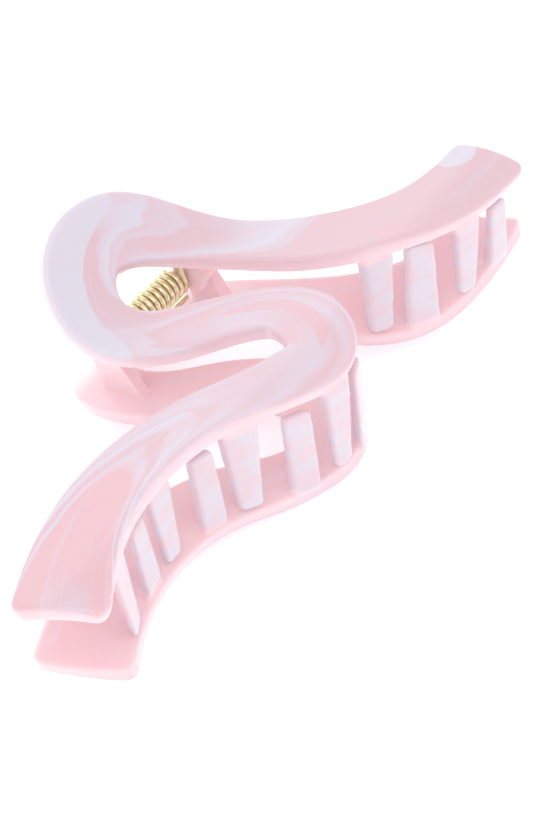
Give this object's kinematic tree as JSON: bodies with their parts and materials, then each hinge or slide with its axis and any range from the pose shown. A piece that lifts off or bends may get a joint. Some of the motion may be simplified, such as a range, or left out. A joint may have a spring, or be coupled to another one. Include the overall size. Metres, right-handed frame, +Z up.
{
  "type": "claw clip",
  "caption": "Wavy open-work claw hair clip: two moulded jaws with finger loops and six teeth each, a steel hinge pin and a brass torsion spring.",
  "frame": {"origin": "the middle of the bounding box in X and Y, on the plane the clip lies on", "axes": "+X along the hinge pin, +Y from the teeth towards the finger loops, +Z up; the clip lies on its back jaw"},
  "size_m": [0.1246, 0.0657, 0.0406],
  "materials": {
    "pink_plastic": "polished, marbled pink and white, slightly translucent",
    "spring_brass": "bright drawn wire",
    "pin_steel": "drawn wire"
  },
  "bodies": {
    "back": {"back_jaw": "pink_plastic", "hinge_pin": "pin_steel", "torsion_spring": "spring_brass"},
    "front": {"front_jaw": "pink_plastic"}
  },
  "joints": [
    {"name": "jaw_hinge", "type": "hinge", "parent": "back", "child": "front", "pos_m": [0.0041, 0.0162, 0.01895], "axis": [-1, 0, 0], "range_deg": [0, 75], "stiffness_Nm_per_rad": 0.15, "springref_deg": -34.38, "deforming": ["torsion_spring"]}
  ]
}
